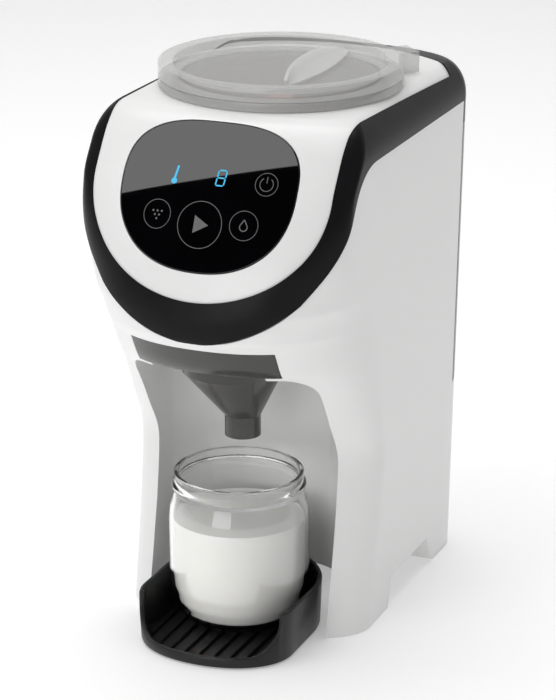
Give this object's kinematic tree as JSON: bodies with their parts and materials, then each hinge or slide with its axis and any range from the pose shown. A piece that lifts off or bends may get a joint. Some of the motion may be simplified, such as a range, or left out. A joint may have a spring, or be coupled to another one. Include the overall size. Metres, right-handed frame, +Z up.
{
  "type": "baby formula dispenser",
  "caption": "Countertop baby formula dispenser with powder hopper, rear water tank, pull-out mixing funnel, touch panel and a jar on a drip tray.",
  "frame": {"origin": "centre of the base, on the surface it stands on", "axes": "+Z up, -Y towards the front where the bottle bay opens, +X towards the right-hand side seen from behind the front panel, that is the right of the control panel as a person faces it"},
  "size_m": [0.1506, 0.2386, 0.3007],
  "materials": {
    "white_shell": "satin-gloss white moulded plastic",
    "black_trim": "semi-gloss black moulded plastic",
    "panel_black": "glossy black touch panel with faint grey symbols",
    "display": "dark segment display",
    "circuit_board": "green solder mask",
    "copper_pads": "bare copper touch electrodes",
    "grey_plastic": "fine-grained grey plastic",
    "rubber": "matt black rubber",
    "steel": "plain turned and pressed steel",
    "inner_black": "matt black plastic",
    "clear_hopper": "clear moulded plastic",
    "white_plastic": "matt white plastic",
    "peach_plastic": "satin peach plastic",
    "smoke_funnel": "smoke-tinted translucent plastic",
    "smoke_tank": "smoke-tinted transparent plastic",
    "tray_black": "satin black plastic",
    "jar_glass": "clear glass",
    "mixed_formula": "cream-white liquid, at rest",
    "hose_silicone": "translucent silicone hose"
  },
  "bodies": {
    "housing": {"base_pan": "white_shell", "rear_housing": "white_shell", "drawer_frame": "white_shell", "bay_liner": "white_shell", "housing": "white_shell", "bezel_band": "black_trim", "top_cover": "white_shell", "control_panel": "panel_black", "display_module": "display", "control_board": "circuit_board", "touch_pad_power": "copper_pads", "touch_pad_left": "copper_pads", "touch_pad_start": "copper_pads", "touch_pad_right": "copper_pads", "machinery_plate": "grey_plastic", "rear_plate": "grey_plastic", "rubber_foot_1": "rubber", "rubber_foot_2": "rubber", "rubber_foot_3": "rubber", "rubber_foot_4": "rubber", "base_screw_1": "steel", "base_screw_2": "steel", "base_screw_3": "steel", "base_screw_4": "steel", "cord_gland": "rubber", "power_board": "circuit_board", "transformer": "grey_plastic", "capacitor": "inner_black", "hopper_seat": "grey_plastic", "powder_chute": "grey_plastic", "gear_plate": "steel", "shaft_bearing": "steel", "motor": "steel", "port_seal": "rubber", "water_pump": "inner_black", "water_heater": "steel", "heater_cap_low": "inner_black", "heater_cap_high": "inner_black", "water_nozzle": "white_plastic", "tank_hose": "hose_silicone", "pump_hose": "hose_silicone", "heater_hose": "hose_silicone"},
    "hopper": {"hopper": "clear_hopper"},
    "hopper_lid": {"hopper_lid": "clear_hopper"},
    "agitator": {"dosing_disc": "white_plastic", "stirrer": "peach_plastic"},
    "drive": {"drive_shaft": "steel", "drive_gear": "white_plastic"},
    "pinion": {"motor_pinion": "white_plastic"},
    "funnel_drawer": {"funnel_cover": "smoke_funnel", "funnel": "smoke_funnel"},
    "drip_tray": {"drip_tray": "tray_black"},
    "jar": {"jar": "jar_glass", "milk": "mixed_formula"},
    "water_tank": {"water_tank": "smoke_tank"},
    "tank_lid": {"tank_lid": "black_trim"}
  },
  "joints": [
    {"name": "hopper_lift", "type": "slide", "parent": "housing", "child": "hopper", "axis": [0, 0, 1], "range_m": [0, 0.1]},
    {"name": "lid_lift", "type": "slide", "parent": "hopper", "child": "hopper_lid", "axis": [0, 0, 1], "range_m": [0, 0.06]},
    {"name": "agitator_spin", "type": "hinge", "parent": "hopper", "child": "agitator", "pos_m": [0, 0.0008, 0.225], "axis": [0, 0, 1], "continuous": true},
    {"name": "gear_spin", "type": "hinge", "parent": "housing", "child": "drive", "pos_m": [0, 0.0008, 0.193], "axis": [0, 0, 1], "continuous": true},
    {"name": "pinion_spin", "type": "hinge", "parent": "housing", "child": "pinion", "pos_m": [0, 0.0326, 0.193], "axis": [0, 0, 1], "continuous": true},
    {"name": "drawer_slide", "type": "slide", "parent": "housing", "child": "funnel_drawer", "axis": [0, -1, 0], "range_m": [0, 0.075]},
    {"name": "tray_slide", "type": "slide", "parent": "housing", "child": "drip_tray", "axis": [0, -1, 0], "range_m": [0, 0.09]},
    {"name": "jar_out", "type": "slide", "parent": "drip_tray", "child": "jar", "axis": [0, -0.9848, 0.1736], "range_m": [0, 0.1]},
    {"name": "tank_slide", "type": "slide", "parent": "housing", "child": "water_tank", "axis": [0, 0.9511, 0.309], "range_m": [0, 0.08]},
    {"name": "tank_lid_hinge", "type": "hinge", "parent": "water_tank", "child": "tank_lid", "pos_m": [0, 0.1195, 0.254], "axis": [-1, 0, 0], "range_deg": [0, 100]}
  ],
  "couplings": [
    {"joint": "agitator_spin", "follows": "gear_spin", "ratio": 1},
    {"joint": "pinion_spin", "follows": "gear_spin", "ratio": -3.2}
  ]
}
